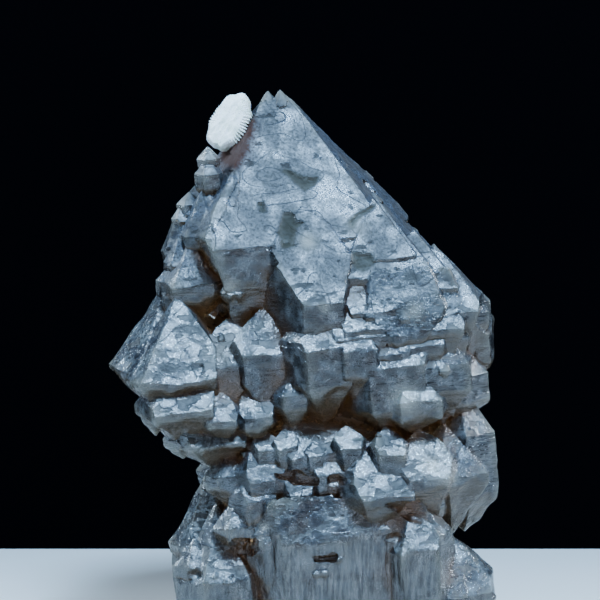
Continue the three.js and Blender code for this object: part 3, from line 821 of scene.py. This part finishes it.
# The white crystal, a stack of thin blades with saw-toothed rims, where the solids have a toothed lens
PLATE_PLACE = (-11.35, 59.9, -0.9)
PLATE_LENGTH = 4.1  # half its long way, teeth and all
PLATE_WIDTH = 2.9
PLATE_HALF = 1.05  # half its thickness
PLATE_SLANT, PLATE_LEAN, PLATE_TURN = 58, -16, -30
BLADES = 9
TEETH = 58
TOOTH_STEPS = 5  # corners along each tooth
CAP_RINGS = 12
CAP_SPAN = 0.7  # how far the rings of its flat sides reach
CAP_HOLE = 0.002
BULGE = 1.9  # the larger, the less the outer blades shrink
BLADE_SHARE = 0.8  # of its share of the thickness, the rest is a groove
STAGGER = 0.035
BITES = (0.05, 0.13, 0.04)  # depth of the teeth: least, by tooth, and by tooth and blade
SMOOTH_TURN, SMOOTH_BITE = 0.4, 0.30  # the upper right edge is smooth
UNEVEN = ((3, 1.0, 0.035), (7, 2.4, 0.03), (11, 0.0, 0.02))  # waves in the outline: count, start, rise
UNEVEN_SIZE = 0.96
RIPPLE_SQUEEZE, RIPPLE_SIZE, RIPPLE_RISE, RIPPLE_REACH, DOME = 0.35, 0.35, 0.10, 0.72, 0.25
PLATE_SHARP_ANGLE = 32


def plate_rim(scale, level, blade):
    """One saw-toothed ring of corners: how far along, how far across and how high."""
    ring = []
    for step in range(TEETH * TOOTH_STEPS):
        tooth, part = divmod(step, TOOTH_STEPS)
        turn = 2 * math.pi * step / TOOTH_STEPS / TEETH
        bite = BITES[0] + BITES[1] * wobble(tooth) + BITES[2] * wobble(tooth + 60 * blade)
        bite *= SMOOTH_BITE + (1 - SMOOTH_BITE) * abs(math.sin(turn - SMOOTH_TURN))
        uneven = sum(rise * math.sin(count * turn + start) for count, start, rise in UNEVEN)
        radius = scale * (UNEVEN_SIZE + uneven) * (1 - bite * part / (TOOTH_STEPS - 1))
        ring.append((PLATE_LENGTH * radius * math.cos(turn), PLATE_WIDTH * radius * math.sin(turn), level))
    return ring


def cap_scale(k):
    return CAP_SPAN * (1 - k / CAP_RINGS) + CAP_HOLE


def make_plate():
    rings = []
    bulge = BULGE * PLATE_HALF
    for k in range(CAP_RINGS, 0, -1):
        rings.append(plate_rim(cap_scale(k), -PLATE_HALF, 0))
    for blade in range(BLADES):
        low = PLATE_HALF * (2 * blade / BLADES - 1)
        high = PLATE_HALF * (2 * (blade + BLADE_SHARE) / BLADES - 1)
        middle = (low + high) / 2
        scale = math.sqrt(1 - (middle / bulge) ** 2) - STAGGER * wobble(blade + 3)
        rings.append(plate_rim(scale, low, blade + 1))
        rings.append(plate_rim(scale, high, blade + 1))
    for k in range(1, CAP_RINGS + 1):
        rings.append(plate_rim(cap_scale(k), high, BLADES))
    corners = np.array(rings)
    count = corners.shape[1]
    spread = np.hypot(corners[..., 0] / PLATE_LENGTH, corners[..., 1] / PLATE_WIDTH)
    drawn_out = corners.reshape(-1, 3) * np.array([RIPPLE_SQUEEZE, 1, 1])
    ripple = noise(drawn_out, RIPPLE_SIZE, 41).reshape(spread.shape)
    top = corners[..., 2] > high - 1e-6
    corners[..., 2] += top * (RIPPLE_RISE * ripple * (spread < RIPPLE_REACH) - DOME * spread ** 4)
    quads = []
    for ring in range(len(rings) - 1):
        for k in range(count):
            after = (k + 1) % count
            quads.append((ring * count + k, ring * count + after, (ring + 1) * count + after,
                          (ring + 1) * count + k))
    quads.append(tuple(reversed(range(count))))
    quads.append(tuple(range((len(rings) - 1) * count, len(rings) * count)))
    facing = Matrix((RIGHT, UP, -AWAY)).transposed()
    facing = facing @ Matrix.Rotation(math.radians(PLATE_LEAN), 3, "X")
    facing = facing @ Matrix.Rotation(math.radians(PLATE_TURN), 3, "Y")
    facing = facing @ Matrix.Rotation(math.radians(PLATE_SLANT), 3, "Z")
    placed = corners.reshape(-1, 3) @ np.array(facing).T + from_sheet(*PLATE_PLACE)
    mesh = bpy.data.meshes.new("calcite")
    mesh.from_pydata((placed * MM).tolist(), [], quads)
    plate = bpy.data.objects.new("calcite", mesh)
    bpy.context.scene.collection.objects.link(plate)
    mesh.shade_smooth()
    mesh.set_sharp_from_angle(angle=math.radians(PLATE_SHARP_ANGLE))
    return plate


# Materials

def node(tree, kind, *values, **settings):
    """A new node. Values go to its inputs in order, and None leaves one as it is."""
    made = tree.nodes.new("ShaderNode" + kind)
    for name, value in settings.items():
        setattr(made, name, value)
    for socket, value in zip(made.inputs, values):
        if isinstance(value, bpy.types.NodeSocket):
            tree.links.new(value, socket)
        elif value is not None:
            socket.default_value = value
    return made.outputs[0]


def mixed(tree, factor, first, second):
    """A colour between two."""
    made = tree.nodes.new("ShaderNodeMix")
    made.data_type = "RGBA"
    for socket, value in zip((made.inputs[0], made.inputs[6], made.inputs[7]), (factor, first, second)):
        if isinstance(value, bpy.types.NodeSocket):
            tree.links.new(value, socket)
        else:
            socket.default_value = value
    return made.outputs[2]


def between(tree, value, low, high, to_low=0.0, to_high=1.0):
    """A value from low to high, taken to another range and kept in it."""
    return node(tree, "MapRange", value, low, high, to_low, to_high)


def maths(tree, operation, first, second=None):
    return node(tree, "Math", first, second, operation=operation)


def plus(tree, *values):
    total = values[0]
    for value in values[1:]:
        total = maths(tree, "ADD", total, value)
    return total


def times(tree, first, second):
    return maths(tree, "MULTIPLY", first, second)


def speckle(tree, place, size, detail=2.0, distortion=0.0):
    """Soft noise with lumps of the given size in mm."""
    return node(tree, "TexNoise", place, None, 1 / (size * MM), detail, 0.55, 2.0, 0.0, distortion)


def new_material(name):
    material = bpy.data.materials.new(name)
    material.use_nodes = True
    return material.node_tree, material.node_tree.nodes["Principled BSDF"], material


def attribute(tree, name):
    return node(tree, "Attribute", attribute_name=name).node.outputs["Fac"]


def set_bump(tree, shader, height, strength, distance):
    bump = tree.nodes.new("ShaderNodeBump")
    bump.inputs["Strength"].default_value = strength
    bump.inputs["Distance"].default_value = distance * MM
    tree.links.new(height, bump.inputs["Height"])
    tree.links.new(bump.outputs["Normal"], shader.inputs["Normal"])


# Colours of the quartz
FROSTED_DARK = (0.08, 0.10, 0.16, 1)
# pale blue-white of the end faces: frost, and painted sheen, whiter on the tiers than on the crown
FROST_SHEEN_TIERS, FROST_SHEEN_CROWN = (0.80, 0.92, 1.0, 1), (0.38, 0.47, 0.62, 1)
ETCHED, MARBLED, CONTOUR = (0.02, 0.022, 0.03, 1), (0.012, 0.014, 0.02, 1), (0.02, 0.025, 0.04, 1)
GLASSY_DARK, GLASSY_PALE = (0.04, 0.045, 0.055, 1), (0.34, 0.38, 0.42, 1)
STREAK_DARK, STREAK_PALE = (0.12, 0.12, 0.125, 1), (0.72, 0.71, 0.68, 1)
# the faces that look down get a painted brown shade; the smoke is the quartz's own absorption
UNDERSIDE_SHADE, SMOKE = (0.26, 0.18, 0.11, 1), (0.60, 0.54, 0.48, 1)
# What the mesh's own values add to it: name, strength and colour. The recess colour is painted shade, the
# rim colour a painted highlight on standing edges, and the stain colour an iron stain darkened with painted
# shade
SHADES = (("rim", 0.7, (0.52, 0.50, 0.42, 1)), ("recess_shade", 1.0, (0.26, 0.10, 0.025, 1)),
          ("pit", 0.85, (0.12, 0.12, 0.085, 1)), ("cloud", 1.0, (1.0, 0.98, 0.88, 1)),
          ("stain_and_shade", 1.0, (0.13, 0.025, 0.007, 1)))
QUARTZ_CLEAR = 0.80
QUARTZ_IOR = 1.544
SMOKE_DENSITY = 120
CROWN_START, CROWN_FULL = 0.042, 0.052  # heights in metres at which the tiers give way to the crown


def quartz_patterns(tree):
    """The patterns that the colour, the gloss and the relief of the quartz share."""
    place = tree.nodes.new("ShaderNodeTexCoord").outputs["Object"]
    normal = tree.nodes.new("ShaderNodeNewGeometry").outputs["Normal"]
    facing = node(tree, "VectorMath", normal, tuple(AXIS), operation="DOT_PRODUCT").node.outputs["Value"]
    level = node(tree, "SeparateXYZ", place).node.outputs["Z"]
    crown = between(tree, level, CROWN_START, CROWN_FULL)
    # dark marbling, mostly on the tiers
    brushed = node(tree, "VectorMath", place, (0.5, 0.5, 1.0), operation="MULTIPLY")
    marbling = plus(tree, speckle(tree, brushed, 1.3, 6.0, 1.0), times(tree, crown, 0.10))
    # striations across the prism faces, and streaks down the stem
    across = node(tree, "VectorMath", place, (0.12, 0.12, 1.0), operation="MULTIPLY")
    down = node(tree, "VectorMath", place, tuple(STREAK), operation="MULTIPLY")
    above = between(tree, level, (STEM_TOP - 4) * MM, STEM_TOP * MM)
    return SimpleNamespace(
        place=place, level=level, crown=crown, above=above,
        end_face=between(tree, facing, 0.22, 0.45),
        under_face=between(tree, facing, -0.10, -0.40),
        patches=speckle(tree, place, 3.6, 5.0, 0.5),
        etched=speckle(tree, place, 0.34, 5.0),
        clean=between(tree, marbling, 0.42, 0.47),
        growth=maths(tree, "FRACT", times(tree, speckle(tree, place, 8.0, 1.0, 0.4), 7.0)),
        lines=mixed(tree, above, speckle(tree, down, 0.34, 3.0), speckle(tree, across, 0.34, 2.0)))


def quartz_colour(tree, on):
    # frosted by etching and marbling on the end faces, with a few thin contours of growth; the pale
    # blue-white of the end faces, whiter on the tiers than on the crown, is also painted sheen of the lit
    # faces
    bright = mixed(tree, on.crown, FROST_SHEEN_TIERS, FROST_SHEEN_CROWN)
    lit = mixed(tree, between(tree, on.patches, 0.42, 0.62), FROSTED_DARK, bright)
    frost_and_sheen = mixed(tree, between(tree, on.etched, 0.40, 0.54), ETCHED, lit)
    frost_and_sheen = mixed(tree, on.clean, MARBLED, frost_and_sheen)
    frost_and_sheen = mixed(tree, times(tree, between(tree, on.growth, 0.05, 0.0), 0.7), frost_and_sheen, CONTOUR)
    # clearer on the prism faces and below, and the faces that look down get a painted brown shade
    veils = speckle(tree, on.place, 1.4, 6.0, 1.2)
    glassy = mixed(tree, between(tree, veils, 0.46, 0.66), GLASSY_DARK, GLASSY_PALE)
    streaked = mixed(tree, between(tree, on.lines, 0.40, 0.60), STREAK_DARK, STREAK_PALE)
    glassy = mixed(tree, between(tree, on.above, 0.0, 1.0, 0.5, 0.0), glassy, streaked)
    # painted brown shade on the faces that look down
    shaded_below = mixed(tree, on.under_face, glassy, UNDERSIDE_SHADE)
    # how much of the frost and painted sheen an end face gets
    frost_sheen_weight = times(tree, between(tree, on.patches, 0.36, 0.62, 0.6, 1.0), on.end_face)
    colour = mixed(tree, frost_sheen_weight, shaded_below, frost_and_sheen)
    for name, strength, shade in SHADES:
        colour = mixed(tree, times(tree, attribute(tree, name), strength), colour, shade)
    return colour


def quartz_roughness(tree, on):
    """Matter on the crown than on the tiers, and matter still on marbling, pits and stain."""
    mattest = between(tree, on.level, 0.040, 0.050, 0.10, 0.46)
    matt = times(tree, between(tree, on.patches, 0.62, 0.40, 0.2, 1.0), mattest)
    matt = plus(tree, matt, between(tree, on.clean, 0.0, 1.0, 0.3, 0.0))
    return plus(tree, times(tree, matt, on.end_face), 0.07, between(tree, on.etched, 0.3, 0.6, 0.16, 0.0),
                times(tree, attribute(tree, "pit"), 0.35), times(tree, attribute(tree, "stain_and_shade"), 0.6))


def quartz_height(tree, on):
    """Lines on the prism faces, steps on the end faces, and etching, lumps and grain all over."""
    lines = times(tree, on.lines, maths(tree, "SUBTRACT", 1.0, on.end_face))
    ledges = between(tree, on.growth, 0.0, 0.06, 0.0, 0.3)
    steps = times(tree, plus(tree, ledges, between(tree, on.clean, 0.0, 1.0, 0.0, 0.3)), on.end_face)
    # low lumps break up the shine of the lower tiers
    low = between(tree, on.level, CROWN_FULL, CROWN_START, 0.1, 1.0)
    lumps = times(tree, speckle(tree, on.place, 1.3, 2.0, 0.8), low)
    grain = times(tree, speckle(tree, on.place, 0.16, 2.0), 0.25)
    return plus(tree, lines, times(tree, on.etched, 0.4), steps, grain, lumps)


def quartz_material():
    tree, shader, material = new_material("smoky_quartz")
    patterns = quartz_patterns(tree)
    tree.links.new(quartz_colour(tree, patterns), shader.inputs["Base Color"])
    tree.links.new(quartz_roughness(tree, patterns), shader.inputs["Roughness"])
    set_bump(tree, shader, quartz_height(tree, patterns), 0.9, 0.16)
    shader.inputs["Transmission Weight"].default_value = QUARTZ_CLEAR
    shader.inputs["IOR"].default_value = QUARTZ_IOR
    absorb = tree.nodes.new("ShaderNodeVolumeAbsorption")
    absorb.inputs["Color"].default_value = SMOKE
    absorb.inputs["Density"].default_value = SMOKE_DENSITY
    tree.links.new(absorb.outputs["Volume"], tree.nodes["Material Output"].inputs["Volume"])
    return material


def white_material():
    tree, shader, material = new_material("white_crystal")
    place = tree.nodes.new("ShaderNodeTexCoord").outputs["Object"]
    cloud = speckle(tree, place, 1.3, 4.0, 0.5)
    colour = mixed(tree, between(tree, cloud, 0.38, 0.58), (0.72, 0.78, 0.72, 1), (0.97, 1.0, 0.99, 1))
    grey = speckle(tree, place, 0.28, 4.0)
    colour = mixed(tree, between(tree, grey, 0.60, 0.72), colour, (0.36, 0.40, 0.36, 1))
    tree.links.new(colour, shader.inputs["Base Color"])
    shader.inputs["Roughness"].default_value = 0.38
    shader.inputs["Subsurface Weight"].default_value = 0.25
    shader.inputs["Subsurface Radius"].default_value = (0.0012, 0.0012, 0.001)
    set_bump(tree, shader, speckle(tree, place, 0.22, 4.0), 0.6, 0.1)
    return material


def floor_material():
    tree, shader, material = new_material("floor")
    shader.inputs["Base Color"].default_value = (0.5, 0.5, 0.5, 1)
    shader.inputs["Roughness"].default_value = 0.9
    return material


def backdrop_material():
    """Near black towards the crystal, and clear from behind, so that other views see past it."""
    tree, shader, material = new_material("backdrop")
    shader.inputs["Base Color"].default_value = (0.001, 0.001, 0.0015, 1)
    shader.inputs["Roughness"].default_value = 1.0
    shader.inputs["Specular IOR Level"].default_value = 0.0
    behind = tree.nodes.new("ShaderNodeNewGeometry").outputs["Backfacing"]
    clear = tree.nodes.new("ShaderNodeBsdfTransparent").outputs["BSDF"]
    mix = node(tree, "MixShader", behind, shader.outputs["BSDF"], clear)
    tree.links.new(mix, tree.nodes["Material Output"].inputs["Surface"])
    return material


# Setting

FLOOR_HALF = 0.9  # metres
BACKDROP_AWAY = 0.048  # behind the middle of the cut face
BACKDROP_SIZE = (0.30, 0.20)
# The picture is 600 pixels wide and shows 75 mm of the sheet, whose foot is the picture's lower edge
PICTURE_WIDTH = 75.0
PICTURE_MIDDLE = -2.5
CAMERA_AWAY = 620.0
SENSOR = 36.0


def make_plane(name, corners, material):
    mesh = bpy.data.meshes.new(name)
    mesh.from_pydata(corners, [], [(0, 1, 2, 3)])
    plane = bpy.data.objects.new(name, mesh)
    plane.data.materials.append(material)
    bpy.context.scene.collection.objects.link(plane)


def make_stage():
    half = FLOOR_HALF
    make_plane("floor", [(-half, -half, 0), (half, -half, 0), (half, half, 0), (-half, half, 0)],
               floor_material())
    wide, high = BACKDROP_SIZE[0] / 2, BACKDROP_SIZE[1]
    y = BACKDROP_AWAY
    make_plane("backdrop", [(-wide, y, 0), (wide, y, 0), (wide, y, high), (-wide, y, high)],
               backdrop_material())


def make_camera():
    data = bpy.data.cameras.new("camera")
    data.sensor_width = SENSOR
    data.lens = SENSOR * CAMERA_AWAY / PICTURE_WIDTH
    data.clip_start = 0.01
    data.clip_end = 10
    camera = bpy.data.objects.new("camera", data)
    bpy.context.scene.collection.objects.link(camera)
    middle = from_sheet(PICTURE_MIDDLE, PICTURE_WIDTH / 2, -8)
    camera.location = Vector((middle - AWAY * CAMERA_AWAY) * MM)
    camera.rotation_euler = Vector(AWAY).to_track_quat("-Z", "Y").to_euler()
    bpy.context.scene.camera = camera


def soft_light(name, azimuth, elevation, distance, size, power, colour):
    """A square soft light. Azimuth 0 is in front and 90 to the right, in degrees, and distance in m."""
    data = bpy.data.lights.new(name, "AREA")
    data.shape = "SQUARE"
    data.size = size
    data.energy = power
    data.color = colour
    light = bpy.data.objects.new(name, data)
    bpy.context.scene.collection.objects.link(light)
    level = math.cos(math.radians(elevation))
    out = heading(azimuth) * level + np.array([0, 0, math.sin(math.radians(elevation))])
    target = Vector((0, 0, 0.035))
    light.location = target + Vector(out * distance)
    light.rotation_euler = (target - light.location).to_track_quat("-Z", "Y").to_euler()


def make_lights():
    # the first is seen mirrored in every front end face at once
    soft_light("key", 31, 66, 0.5, 0.11, 8.0, (0.42, 0.69, 1.0))
    soft_light("left", -104, 36, 0.6, 0.20, 9.0, (0.58, 0.79, 1.0))
    soft_light("front", 26, 9, 0.8, 0.24, 1.0, (0.92, 0.95, 1.0))
    soft_light("right", 112, 24, 0.3, 0.12, 3.0, (0.76, 0.88, 1.0))
    world = bpy.data.worlds.new("world")
    world.use_nodes = True
    world.node_tree.nodes["Background"].inputs["Color"].default_value = (0.08, 0.11, 0.16, 1)
    world.node_tree.nodes["Background"].inputs["Strength"].default_value = 1.0
    bpy.context.scene.world = world


make_camera()
make_lights()
make_stage()

quartz = make_quartz()
quartz.data.materials.append(quartz_material())
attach(quartz, "root")
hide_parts("quartz_stack")

plate = make_plate()
plate.data.materials.append(white_material())
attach(plate, "root")
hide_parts("calcite_plate")
